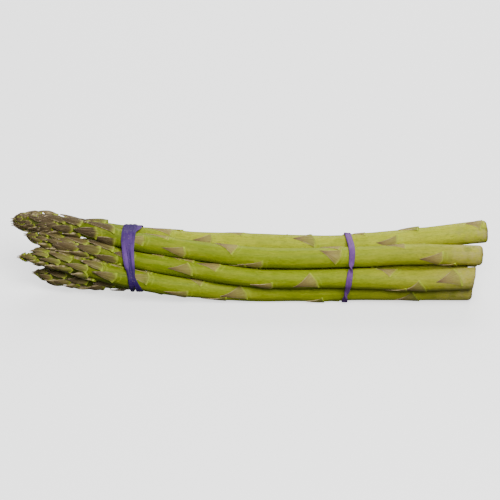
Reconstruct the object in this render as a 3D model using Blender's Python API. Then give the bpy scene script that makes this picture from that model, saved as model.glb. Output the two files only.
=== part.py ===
"""A bunch of seven green asparagus spears, lying down, held by a wide and a narrow rubber band.

Lengths are written in millimetres and turned into metres by MM. +X runs towards the cut butts,
-X towards the tips, -Y faces the viewer and +Z is up. The bunch rests on the plane z = 0.
"""

import math
import random

import bmesh
import bpy
import numpy as np
from mathutils import Matrix, Vector

MM = 0.001

# Each spear: its axis from tip to butt as hand-laid points (x, y, z), its stem radius at the
# butt, half way along and at the neck, where the leafy head begins, its head as (share of the
# neck's radius that it keeps, length over which it closes to the tip), its leaf spiral as (seed,
# first angle, sense), and the leaves that show on its front as (distance from tip, angle).
# Leaf angles are seen by the viewer, who looks down by VIEW_TILT: 0 faces the viewer, 90 is up.
SPEARS = {
    "spear_upper_front": {
        "axis": [(-112.6, 11.0, 34.2), (-104.5, 10.3, 33.6), (-90.3, 9.6, 32.8), (-80.8, 8.2, 31.4),
                 (-71.3, 7.0, 30.2), (-57.1, 4.0, 27.2), (-50.0, 3.0, 26.3), (-24.0, -1.0, 24.3),
                 (6.0, -3.6, 21.9), (46.0, -4.3, 22.9), (71.0, -4.0, 24.1), (90.0, -3.7, 24.3),
                 (109.5, -3.9, 23.3)],
        "radii": (4.8, 5.0, 4.1),
        "head": (0.8, 2.6),
        "spiral": (3, 20.0, 1),
        "seen": [(64, 16), (75, 84), (85, -18), (108, 34), (120, -44), (158, 2), (187, 63), (207, -15)],
    },
    "spear_upper_back": {
        "axis": [(-112.4, 18.8, 31.9), (-104.5, 18.2, 31.4), (-90.3, 17.1, 30.4), (-80.8, 15.0, 27.2),
                 (-69.0, 13.7, 26.9), (-57.1, 12.3, 25.6), (-50.0, 11.6, 25.0), (-24.0, 8.7, 24.2),
                 (6.0, 6.6, 24.1), (46.0, 5.7, 23.6), (71.0, 6.5, 25.8), (90.0, 9.0, 26.8),
                 (112.6, 11.6, 28.0)],
        "radii": (5.4, 4.9, 4.2),
        "head": (0.98, 6.5),
        "spiral": (7, 140.0, -1),
        "seen": [(76, 60), (95, 19), (110, 68), (144, 24), (183, 2), (194, 67), (220, 40)],
    },
    "spear_middle_front": {
        "axis": [(-106.4, 8.1, 28.5), (-99.8, 6.5, 26.9), (-90.3, 4.9, 25.3), (-80.8, 3.2, 23.6),
                 (-71.3, 1.6, 22.0), (-61.8, -0.3, 20.1), (-50.0, -1.6, 18.8), (-24.0, -5.6, 16.2),
                 (6.0, -8.8, 14.0), (46.0, -9.4, 14.0), (71.0, -11.0, 14.2), (90.0, -11.0, 14.3),
                 (106.7, -9.9, 14.9)],
        "radii": (5.6, 4.4, 4.0),
        "head": (0.98, 6.5),
        "spiral": (11, 75.0, 1),
        "seen": [(64, 62), (81, -3), (94, 40), (119, -50), (141, -5), (177, 41), (191, -36), (207, 8)],
        "slant": 9.0,
    },
    "spear_centre": {
        "axis": [(-100.7, 14.1, 22.9), (-80.0, 10.8, 19.6), (-50.0, 6.0, 14.8), (-24.0, 2.7, 14.6),
                 (6.0, 0.5, 14.3), (46.0, 0.4, 14.4), (71.0, 0.5, 14.8), (103.0, 1.4, 15.2)],
        "radii": (4.7, 4.4, 4.0),
        "head": (0.98, 6.5),
        "spiral": (13, 10.0, 1),
    },
    "spear_middle_back": {
        "axis": [(-94.0, 20.3, 15.4), (-80.0, 18.5, 14.6), (-50.0, 14.6, 15.0), (-24.0, 11.4, 14.0),
                 (6.0, 10.2, 13.9), (46.0, 10.2, 14.0), (71.0, 10.9, 14.0), (108.0, 12.6, 13.5)],
        "radii": (5.0, 4.7, 4.1),
        "head": (0.98, 6.5),
        "spiral": (17, 200.0, -1),
    },
    "spear_lower_front": {
        "axis": [(-109.5, 1.6, 18.7), (-99.8, 2.2, 19.3), (-90.3, 0.4, 17.5), (-80.8, -1.1, 16.0),
                 (-71.3, -2.5, 14.6), (-61.8, -4.3, 12.8), (-50.0, -6.1, 11.0), (-24.0, -5.8, 7.4),
                 (-4.0, -5.3, 5.0), (26.0, -5.2, 5.0), (46.0, -5.3, 6.2), (71.0, -5.4, 5.9),
                 (104.8, -5.0, 5.8)],
        "radii": (5.1, 5.0, 4.6),
        "head": (0.98, 8.5),
        "spiral": (19, 310.0, 1),
        "seen": [(62, 17), (81, -51), (89, 35), (109, -11), (146, -80), (191, -57)],
    },
    "spear_lower_back": {
        "axis": [(-102.7, 4.8, 9.6), (-90.3, 3.0, 7.6), (-80.8, 2.2, 6.8), (-71.3, 1.6, 6.6),
                 (-57.0, 1.2, 7.0), (-50.0, 1.3, 6.8), (-24.0, 3.6, 5.4), (-4.0, 4.7, 4.6),
                 (26.0, 5.0, 4.6), (46.0, 5.1, 5.8), (71.0, 5.3, 5.6), (103.5, 6.0, 5.8)],
        "radii": (5.0, 4.6, 4.0),
        "head": (0.98, 7.0),
        "spiral": (23, 90.0, -1),
    },
}
MIDDLE_X = 0.25
MIDDLE_Y = 3.0

# Stems: how they are cut and how their heads taper
NECK_FROM_TIP = 45.0
TIP_RADIUS = 0.5
HEAD_CORE_SHARE = 0.8
RIM_BEVEL = 0.9
STEM_SIDES_RESOLUTION = 3
HEAD_RINGS = (0.0, 0.9, 2.2, 4.5, 7.5, 12.0)
BODY_RINGS = 17
STATION_STEP = 2.0
GAP_BETWEEN_STEMS = 0.55
AXIS_PASSES = 60
FLAT_DEPTH = 0.12

# Scale leaves: a golden-angle spiral, crowded at the tip and sparse towards the butt
GOLDEN_ANGLE = 137.5
FIRST_LEAF = 4.0
LEAF_STEPS = ((0.0, 3.0), (20.0, 4.0), (45.0, 7.0), (80.0, 11.0), (220.0, 16.0))
STEP_JITTER = 0.15
ANGLE_JITTER = 12.0
SEEN_FROM = 54.0
FRONT_HALF_ANGLE = 85.0
BUTT_MARGIN = 7.0
LEAF_LENGTH = 11.0
LEAF_HALF_ANGLE = 54.0
HEAD_HALF_ANGLE = 64.0
ROOT_DEPTH = 1.2
HEAD_BULGE = 0.8
LEAF_MARGIN = 0.12
LEAF_MARGIN_SPREAD = 0.2
# Along a leaf: share of its length from base to apex, share of its width, edge and crest height
LEAF_ROWS = ((0.0, 1.0, 0.35, 0.55), (0.38, 0.52, 0.52, 0.78), (1.0, 0.06, 0.28, 0.4))

# Rubber bands: place along X, width, how far their far side leans towards the butts
BANDS = {
    "band_wide": {"x": -57.0, "width": 6.4, "lean": 1.8, "narrowing": 0.35},
    "band_narrow": {"x": 46.4, "width": 2.9, "lean": 0.4, "narrowing": 0.0},
}
BAND_THICKNESS = 0.9
BAND_CLEARANCE = 0.4
BAND_POINTS = 56
PRESS_UNDER_BAND = 0.08

VIEW_TILT = math.radians(30.0)

STEM_GREEN = (0.40, 0.44, 0.05, 1.0)
BAND_PURPLE = (0.10, 0.06, 0.21, 1.0)


def through(points, at):
    """Smooth values at the places 'at', through points (place, value): a cubic with Catmull-Rom slopes."""
    points = np.array(points, float)
    place, value = points[:, 0], points[:, 1]
    slope = np.gradient(value, place)
    k = np.clip(np.searchsorted(place, at) - 1, 0, len(place) - 2)
    span = place[k + 1] - place[k]
    t = np.clip((at - place[k]) / span, 0.0, 1.0)
    return ((2 * t**3 - 3 * t**2 + 1) * value[k] + (t**3 - 2 * t**2 + t) * span * slope[k]
            + (3 * t**2 - 2 * t**3) * value[k + 1] + (t**3 - t**2) * span * slope[k + 1])


def smooth_step(low, high, value):
    """0 below low, 1 above high and an S-curve between."""
    t = np.clip((value - low) / (high - low), 0.0, 1.0)
    return t * t * (3 - 2 * t)


def stem_radius(radii, head, length, from_tip):
    """Outline radius of a spear, leaves of the head included: it tapers up the stem, and the
    head closes to its tip as 1 - exp(-distance / taper)."""
    butt, middle, neck = radii
    fullness, taper = head
    body = through([(0.0, neck * fullness), (NECK_FROM_TIP, neck), (length * 0.62, middle), (length, butt)],
                   from_tip)
    return TIP_RADIUS + (body - TIP_RADIUS) * (1 - np.exp(-np.maximum(from_tip, 0.0) / taper))


def lay_axes():
    """Axes of all the spears on common stations along X, pushed apart until they just clear."""
    stations = np.arange(-114.0, 114.1, STATION_STEP)
    names = list(SPEARS)
    across, up, radius, there = [], [], [], []
    for name in names:
        axis = np.array(SPEARS[name]["axis"]) - (MIDDLE_X, MIDDLE_Y, 0.0)
        across.append(through(axis[:, [0, 1]], stations))
        up.append(through(axis[:, [0, 2]], stations))
        tip, butt = axis[0, 0], axis[-1, 0]
        radius.append(stem_radius(SPEARS[name]["radii"], SPEARS[name]["head"], butt - tip, stations - tip))
        there.append((stations > tip - STATION_STEP) & (stations < butt + STATION_STEP))
    across, up, radius, there = map(np.array, (across, up, radius, there))
    kernel = np.array([0.25, 0.5, 0.25])
    for step in range(AXIS_PASSES):
        move_across, move_up = np.zeros_like(across), np.zeros_like(up)
        for i in range(len(names)):
            for j in range(i + 1, len(names)):
                d_across, d_up = across[j] - across[i], up[j] - up[i]
                apart = np.hypot(d_across, d_up)
                short = np.maximum(radius[i] + radius[j] + GAP_BETWEEN_STEMS - apart, 0.0)
                push = 0.5 * short * (there[i] & there[j]) / apart
                move_across[i] -= push * d_across
                move_across[j] += push * d_across
                move_up[i] -= push * d_up
                move_up[j] += push * d_up
        for move in (move_across, move_up):
            for row in move:
                row[:] = np.convolve(np.pad(row, 1, mode="edge"), kernel, mode="valid")
        across += move_across
        up = np.maximum(up + move_up, radius - FLAT_DEPTH)
    return names, stations, across, up, radius


NAMES, STATIONS, ACROSS, UP, OUTLINE = lay_axes()


def centre_and_outline(row, x):
    """Where a spear's axis crosses the plane at x, as (y, z), and its outline radius there."""
    centre = np.array([np.interp(x, STATIONS, ACROSS[row]), np.interp(x, STATIONS, UP[row])])
    return centre, float(np.interp(x, STATIONS, OUTLINE[row]))


class Spear:
    """One spear's axis as arrays that run from the tip (distance 0) to the butt."""

    def __init__(self, name):
        self.name = name
        self.row = NAMES.index(name)
        spec = SPEARS[name]
        self.tip_x = spec["axis"][0][0] - MIDDLE_X
        self.butt_x = spec["axis"][-1][0] - MIDDLE_X
        inner = STATIONS[(STATIONS > self.tip_x + 0.5) & (STATIONS < self.butt_x - 0.5)]
        x = np.concatenate([[self.tip_x], inner, [self.butt_x]])
        self.points = np.stack([x, np.interp(x, STATIONS, ACROSS[self.row]),
                                np.interp(x, STATIONS, UP[self.row])], axis=1)
        step = np.linalg.norm(np.diff(self.points, axis=0), axis=1)
        self.from_tip = np.concatenate([[0.0], np.cumsum(step)])
        self.length = self.from_tip[-1]
        self.tangent = np.gradient(self.points, self.from_tip, axis=0)
        self.tangent /= np.linalg.norm(self.tangent, axis=1, keepdims=True)
        self.radii, self.head = spec["radii"], spec["head"]
        self.seed, self.first_angle, self.sense = spec["spiral"]
        self.seen = spec.get("seen", [])
        self.slant = math.tan(math.radians(spec.get("slant", 0.0)))

    def outline(self, s):
        return stem_radius(self.radii, self.head, self.length, s)

    def core(self, s):
        """Radius of the bare stem, which is slimmer inside the leafy head."""
        share = HEAD_CORE_SHARE + (1 - HEAD_CORE_SHARE) * smooth_step(22.0, 52.0, s)
        return self.outline(s) * share

    def on_axis(self, s):
        return np.array([np.interp(s, self.from_tip, self.points[:, k]) for k in range(3)])

    def frame(self, s):
        """Unit vectors square to the axis: towards the viewer and up as the viewer sees it."""
        along = np.array([np.interp(s, self.from_tip, self.tangent[:, k]) for k in range(3)])
        front = np.array([0.0, -math.cos(VIEW_TILT), math.sin(VIEW_TILT)])
        front -= front.dot(along) * along
        front /= np.linalg.norm(front)
        return front, np.cross(front, along)

    def surface(self, s, angle, height):
        """The point 'height' above the bare stem at distance s from the tip, at a leaf angle."""
        front, above = self.frame(s)
        out = math.cos(math.radians(angle)) * front + math.sin(math.radians(angle)) * above
        return self.on_axis(s) + (float(self.core(s)) + height) * out


def leaf_places(spear):
    """(distance of the base from the tip, angle) of each scale leaf: the spiral rule, except on
    the front of a stem whose leaves are given as seen."""
    draw = random.Random(spear.seed)
    s, angle = FIRST_LEAF, spear.first_angle
    places = []
    while s < spear.length - BUTT_MARGIN:
        facing = abs((angle + 180.0) % 360.0 - 180.0) < FRONT_HALF_ANGLE
        if s < SEEN_FROM or not (spear.seen and facing):
            places.append((s, angle))
        step = np.interp(s, [row[0] for row in LEAF_STEPS], [row[1] for row in LEAF_STEPS])
        s += float(step) * (1 + draw.uniform(-1, 1) * STEP_JITTER)
        angle += spear.sense * GOLDEN_ANGLE + draw.uniform(-1, 1) * ANGLE_JITTER
    return places + spear.seen


def under_band(low, high):
    """Whether a leaf between these places along X lies under one of the bands."""
    for spec in BANDS.values():
        reach = spec["width"] / 2 + 0.8
        if low < spec["x"] + reach + 2 * spec["lean"] and high > spec["x"] - reach:
            return True
    return False


def press_clear(spear, point, margin, pressed):
    """Bends a point of a leaf clear of the other spears, and flat where a band presses it."""
    x, y, z = point
    own, own_radius = centre_and_outline(spear.row, x)
    at = np.array([y, z])
    for row, name in enumerate(NAMES):
        axis = SPEARS[name]["axis"]
        if name == spear.name or not axis[0][0] - 3.0 < x < axis[-1][0] + 3.0:
            continue
        other, other_radius = centre_and_outline(row, x)
        apart = np.linalg.norm(other - own)
        towards = (other - own) / apart
        limit = 0.5 * (apart + own_radius - other_radius) - margin
        at = at - max((at - own).dot(towards) - limit, 0.0) * towards
    out = at - own
    reach = np.linalg.norm(out)
    if pressed and reach > own_radius + PRESS_UNDER_BAND:
        at = own + out * (own_radius + PRESS_UNDER_BAND) / reach
    return Vector((x * MM, at[0] * MM, at[1] * MM))


def leaf_object(spear, base, angle, margin, collection):
    """A scale leaf as a closed solid: rows of three outer and two sunken points, base to apex."""
    in_head = 1 - float(smooth_step(18.0, 48.0, base))
    length = min(LEAF_LENGTH * (0.75 + 0.25 * float(smooth_step(0.0, 40.0, base))), base * 0.84)
    half = LEAF_HALF_ANGLE + (HEAD_HALF_ANGLE - LEAF_HALF_ANGLE) * in_head
    room = float(spear.outline(base) / spear.outline(NECK_FROM_TIP))
    pressed = under_band(spear.on_axis(base - length)[0], spear.on_axis(base)[0])
    mesh = bmesh.new()
    rows = []
    for share, width, edge, crest in LEAF_ROWS:
        s = base - share * length
        stand = (1 - HEAD_CORE_SHARE) * float(spear.outline(s)) * in_head * share
        bulge = HEAD_BULGE * in_head * room * math.sin(math.pi * min(share + 0.2, 1.0))
        root = -ROOT_DEPTH * float(spear.outline(s) / spear.outline(NECK_FROM_TIP))
        row = [(-half * width, edge + stand), (0.0, crest + stand + bulge), (half * width, edge + stand),
               (half * width * 0.8, root), (-half * width * 0.8, root)]
        places = [spear.surface(s, angle + turn, height) for turn, height in row]
        rows.append([mesh.verts.new(press_clear(spear, place, margin, pressed)) for place in places])
    for first, second in zip(rows, rows[1:]):
        for k in range(len(first)):
            following = (k + 1) % len(first)
            mesh.faces.new((first[k], first[following], second[following], second[k]))
    mesh.faces.new(rows[0][::-1])
    mesh.faces.new(rows[-1])
    bmesh.ops.triangulate(mesh, faces=mesh.faces)
    bmesh.ops.recalc_face_normals(mesh, faces=mesh.faces)
    data = bpy.data.meshes.new("leaf")
    mesh.to_mesh(data)
    mesh.free()
    leaf = bpy.data.objects.new("leaf", data)
    collection.objects.link(leaf)
    return leaf


def stem_mesh(spear):
    """The bare stem: a round tube along the axis, tapered, with a small bevel at the cut."""
    body = np.linspace(18.0, spear.length - RIM_BEVEL, BODY_RINGS)
    places = np.concatenate([HEAD_RINGS, body, [spear.length]])
    curve = bpy.data.curves.new("stem", "CURVE")
    curve.dimensions = "3D"
    curve.bevel_depth = MM
    curve.bevel_resolution = STEM_SIDES_RESOLUTION
    curve.use_fill_caps = True
    line = curve.splines.new("POLY")
    line.points.add(len(places) - 1)
    for point, s in zip(line.points, places):
        point.co = (*(spear.on_axis(s) * MM), 1.0)
        rim = RIM_BEVEL * 0.6 if s == spear.length else 0.0
        point.radius = float(spear.core(s)) - rim
    tube = bpy.data.objects.new("stem", curve)
    bpy.context.scene.collection.objects.link(tube)
    data = bpy.data.meshes.new_from_object(tube.evaluated_get(bpy.context.evaluated_depsgraph_get()))
    bpy.data.objects.remove(tube)
    mesh = bmesh.new()
    mesh.from_mesh(data)
    bmesh.ops.remove_doubles(mesh, verts=mesh.verts, dist=1e-6)
    cut = spear.on_axis(spear.length)
    for vert in mesh.verts:
        if vert.co.x > (cut[0] - 2.0) * MM:
            vert.co.x += spear.slant * (vert.co.z - cut[2] * MM)
    bmesh.ops.recalc_face_normals(mesh, faces=mesh.faces)
    mesh.to_mesh(data)
    mesh.free()
    return data


def keep_outer_skin(data):
    """Keeps the skin with the most faces and drops the small pockets closed in between leaves."""
    mesh = bmesh.new()
    mesh.from_mesh(data)
    left = set(mesh.faces)
    skins = []
    while left:
        skin = {left.pop()}
        reached = list(skin)
        while reached:
            for side in reached.pop().edges:
                for near in side.link_faces:
                    if near in left:
                        left.discard(near)
                        skin.add(near)
                        reached.append(near)
        skins.append(skin)
    skins.sort(key=len)
    for skin in skins[:-1]:
        bmesh.ops.delete(mesh, geom=list(skin), context="FACES")
    mesh.to_mesh(data)
    mesh.free()


def build_spear(name, parts, cutters, floor, material):
    spear = Spear(name)
    body = bpy.data.objects.new(name, stem_mesh(spear))
    parts.objects.link(body)
    leaves = bpy.data.collections.new(name + "_leaves")
    cutters.children.link(leaves)
    draw = random.Random(spear.seed)
    for base, angle in leaf_places(spear):
        leaf_object(spear, base, angle, LEAF_MARGIN + draw.random() * LEAF_MARGIN_SPREAD, leaves)
    joined = body.modifiers.new("leaves", "BOOLEAN")
    joined.operation = "UNION"
    joined.operand_type = "COLLECTION"
    joined.collection = leaves
    joined.solver = "MANIFOLD"
    rest = body.modifiers.new("resting flat", "BOOLEAN")
    rest.operation = "DIFFERENCE"
    rest.object = floor
    rest.solver = "MANIFOLD"
    bpy.context.view_layer.update()
    whole = bpy.data.meshes.new_from_object(body.evaluated_get(bpy.context.evaluated_depsgraph_get()))
    body.modifiers.clear()
    body.data = whole
    whole.name = name
    keep_outer_skin(whole)
    for leaf in list(leaves.objects):
        bpy.data.objects.remove(leaf)
    bpy.data.collections.remove(leaves)
    whole.shade_smooth()
    whole.set_sharp_from_angle(angle=math.radians(35))
    whole.materials.clear()
    whole.materials.append(material)
    return body


def hull_loop(centre_of, offset, count):
    """Closed loop round all the stems at the offset from them: the outermost spear in each
    direction gives a point, and the loop is then resampled to even steps."""
    points = []
    for normal in np.linspace(0, 2 * math.pi, 360, endpoint=False):
        x = centre_of(normal)
        out = np.array([-math.cos(normal), math.sin(normal)])
        reached = []
        for row in range(len(NAMES)):
            centre, radius = centre_and_outline(row, x)
            reached.append((centre.dot(out) + radius, row))
        centre, radius = centre_and_outline(max(reached)[1], x)
        points.append((x, *(centre + out * (radius + offset))))
    points = np.array(points + points[:1])
    run = np.concatenate([[0.0], np.cumsum(np.linalg.norm(np.diff(points, axis=0), axis=1))])
    at = np.linspace(0.0, run[-1], count, endpoint=False)
    return np.stack([np.interp(at, run, points[:, k]) for k in range(3)], axis=1)


def build_band(name, parts, floor, material):
    """A flat rubber strip round the bunch: four loops at its corners, skinned into a closed ring."""
    spec = BANDS[name]

    def edge(side):
        def centre_of(normal):
            turn = normal - VIEW_TILT
            half = spec["width"] / 2 * (1 - spec["narrowing"] * (0.5 - 0.5 * math.sin(turn)))
            return spec["x"] + spec["lean"] * (1 - math.cos(turn)) + side * half
        return centre_of

    outer = BAND_CLEARANCE + BAND_THICKNESS
    corners = ((-1, BAND_CLEARANCE), (-1, outer), (1, outer), (1, BAND_CLEARANCE))
    loops = [hull_loop(edge(side), offset, BAND_POINTS) for side, offset in corners]
    mesh = bmesh.new()
    rings = [[mesh.verts.new(Vector(p) * MM) for p in loop] for loop in loops]
    for k in range(BAND_POINTS):
        following = (k + 1) % BAND_POINTS
        for a in range(4):
            b = (a + 1) % 4
            mesh.faces.new((rings[a][k], rings[a][following], rings[b][following], rings[b][k]))
    bmesh.ops.recalc_face_normals(mesh, faces=mesh.faces)
    data = bpy.data.meshes.new(name)
    mesh.to_mesh(data)
    mesh.free()
    data.materials.append(material)
    band = bpy.data.objects.new(name, data)
    parts.objects.link(band)
    rest = band.modifiers.new("resting flat", "BOOLEAN")
    rest.operation = "DIFFERENCE"
    rest.object = floor
    rest.solver = "MANIFOLD"
    return band


def floor_cutter(cutters):
    """A block under z = 0, which gives whatever reaches down to the surface a flat to rest on."""
    bpy.ops.mesh.primitive_cube_add(size=1.0)
    block = bpy.context.object
    block.name = "floor_cutter"
    block.data.transform(Matrix.Diagonal((0.4, 0.2, 0.02, 1.0)))
    block.data.transform(Matrix.Translation((0.0, 0.0, -0.01)))
    for collection in list(block.users_collection):
        collection.objects.unlink(block)
    cutters.objects.link(block)
    block.hide_render = True
    block.display_type = "WIRE"
    return block


def plain_material(name, colour, roughness):
    material = bpy.data.materials.new(name)
    material.use_nodes = True
    shader = material.node_tree.nodes["Principled BSDF"]
    shader.inputs["Base Color"].default_value = colour
    shader.inputs["Roughness"].default_value = roughness
    shader.inputs["Metallic"].default_value = 0.0
    return material


def main():
    for obj in list(bpy.data.objects):
        bpy.data.objects.remove(obj)
    parts = bpy.data.collections.new("asparagus_bunch")
    cutters = bpy.data.collections.new("cutters")
    bpy.context.scene.collection.children.link(parts)
    bpy.context.scene.collection.children.link(cutters)
    floor = floor_cutter(cutters)
    skin = plain_material("asparagus", STEM_GREEN, 0.42)
    rubber = plain_material("rubber_band", BAND_PURPLE, 0.55)
    for name in SPEARS:
        build_spear(name, parts, cutters, floor, skin)
    for name in BANDS:
        build_band(name, parts, floor, rubber)


main()
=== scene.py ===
# %% [markdown]
# A bunch of green asparagus, lying down and held by two rubber bands.
# The solid model gives every spear its place and thickness. This script only gives looks: it
# reads the line of each spear from its solid, and grows a finer skin along that line.

# %% Load the frame
import math

import bpy
import numpy as np
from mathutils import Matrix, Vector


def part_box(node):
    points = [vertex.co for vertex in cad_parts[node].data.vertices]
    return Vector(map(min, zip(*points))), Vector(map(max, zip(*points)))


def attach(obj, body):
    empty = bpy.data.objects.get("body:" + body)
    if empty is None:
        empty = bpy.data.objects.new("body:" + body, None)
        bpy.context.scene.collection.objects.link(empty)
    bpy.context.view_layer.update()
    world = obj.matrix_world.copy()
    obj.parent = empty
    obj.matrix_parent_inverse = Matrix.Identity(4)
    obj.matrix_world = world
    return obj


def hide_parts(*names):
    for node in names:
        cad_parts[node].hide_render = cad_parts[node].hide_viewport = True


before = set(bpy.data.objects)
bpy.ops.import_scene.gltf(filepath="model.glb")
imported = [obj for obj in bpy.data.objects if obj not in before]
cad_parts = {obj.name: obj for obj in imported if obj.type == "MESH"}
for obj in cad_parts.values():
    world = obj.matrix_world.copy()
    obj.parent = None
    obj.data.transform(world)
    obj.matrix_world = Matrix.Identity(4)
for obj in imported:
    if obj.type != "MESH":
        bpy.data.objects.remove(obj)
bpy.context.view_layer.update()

MM = 0.001
VIEW_TILT = math.radians(30.0)
TO_VIEWER = np.array([0.0, -math.cos(VIEW_TILT), math.sin(VIEW_TILT)])

# %% [markdown]
# Every piece below is a grid of points that a formula places. These helpers turn such a grid
# into a mesh: one joins neighbouring points into faces, one fills the mesh, one stores a number
# for each point that the material can read later.


# %% Helpers for meshes
def grid_faces(rows, columns, closed=False, first=0):
    """Quads between the neighbouring points of a rows x columns grid. With closed=True the last
    column joins the first, as on a tube."""
    r = np.arange(rows - 1)[:, None]
    c = np.arange(columns if closed else columns - 1)[None, :]
    right = (c + 1) % columns
    corners = (r * columns + c, (r + 1) * columns + c, (r + 1) * columns + right, r * columns + right)
    return np.stack([first + k for k in corners], axis=-1).reshape(-1, 4)


def mesh_object(name, points, faces, materials, face_slots=None, **numbers):
    """A smooth-shaded object at the origin, with a named number or vector stored for each point."""
    mesh = bpy.data.meshes.new(name)
    mesh.from_pydata(points.reshape(-1, 3).tolist(), [], [list(face) for face in faces])
    for key, values in numbers.items():
        values = np.asarray(values, np.float32)
        kind, field = ("FLOAT_VECTOR", "vector") if values.ndim == 2 else ("FLOAT", "value")
        mesh.attributes.new(key, kind, "POINT").data.foreach_set(field, values.ravel())
    for material in materials:
        mesh.materials.append(material)
    if face_slots is not None:
        mesh.polygons.foreach_set("material_index", np.asarray(face_slots, np.int32))
    mesh.validate()
    mesh.shade_smooth()
    obj = bpy.data.objects.new(name, mesh)
    bpy.context.scene.collection.objects.link(obj)
    return obj


def smooth_step(low, high, value):
    """0 below low, 1 above high and an S-curve between."""
    t = np.clip((value - low) / (high - low), 0.0, 1.0)
    return t * t * (3 - 2 * t)


def gentle_noise(seed, at, wavelength, count=5):
    """A smooth random wave between about -1 and 1: a sum of sines of random phase, with
    wavelengths spread round the given one."""
    draw = np.random.default_rng(seed)
    waves = wavelength * draw.uniform(0.6, 1.7, count)
    phases = draw.uniform(0, 2 * np.pi, count)
    return sum(np.sin(2 * np.pi * at / w + p) for w, p in zip(waves, phases)) / math.sqrt(count)


# %% [markdown]
# A spear is a bent, tapering stem. Its line isn't a straight axis, so it has to be known before
# anything can grow on it. It could be typed in again point by point. Here it is measured on the
# solid: the solid is sliced across, a circle is fitted to each slice, and the centres of the
# circles are the line. That way the looks can never drift away from the solid. Three heads are
# then moved by a fraction of a millimetre, up or down for the viewer, to follow the photo.

# %% Slice the solids
SLICE_STEP, LINE_STEP = 2.5 * MM, 0.5 * MM
FIRST_SLICE, LAST_SLICE = 4 * MM, 3 * MM
FACET_SHARE = 0.975
LEAF_PROUD = 0.15 * MM
LINE_SMOOTHING = 3
UP_FOR_VIEWER = np.array([0.0, math.sin(VIEW_TILT), math.cos(VIEW_TILT)])
TIP_SHIFTS = {"spear_upper_back": (-0.7, 70.0), "spear_upper_front": (-0.2, 50.0),
              "spear_lower_front": (0.45, 40.0)}


def slice_circle(triangles, x):
    """Centre (y, z) and radius of the circle that best fits a slice: each triangle that the
    plane cuts gives a short segment, weighted by its length. Parts that stand proud of the
    circle, such as leaves, are dropped and the fit is made again."""
    starts, ends = triangles, np.roll(triangles, -1, axis=1)
    crosses = (starts[..., 0] - x) * (ends[..., 0] - x) < 0
    cut = crosses.sum(axis=1) == 2
    share = (x - starts[cut][..., 0]) / np.where(crosses[cut], ends[cut][..., 0] - starts[cut][..., 0], 1.0)
    points = starts[cut] + share[..., None] * (ends[cut] - starts[cut])
    points = points[crosses[cut]].reshape(-1, 2, 3)[..., 1:]
    middle = points.mean(axis=1)
    weight = np.linalg.norm(points[:, 1] - points[:, 0], axis=1)
    keep = weight > 0
    for _ in range(4):
        y, z, w = middle[keep, 0], middle[keep, 1], np.sqrt(weight[keep])
        system = np.stack([2 * y, 2 * z, np.ones_like(y)], axis=1) * w[:, None]
        yc, zc, rest = np.linalg.lstsq(system, (y * y + z * z) * w, rcond=None)[0]
        radius = math.sqrt(rest + yc * yc + zc * zc)
        reach = np.hypot(middle[:, 0] - yc, middle[:, 1] - zc)
        keep = (weight > 0) & (reach < radius + LEAF_PROUD)
    return yc, zc, radius / FACET_SHARE


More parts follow.
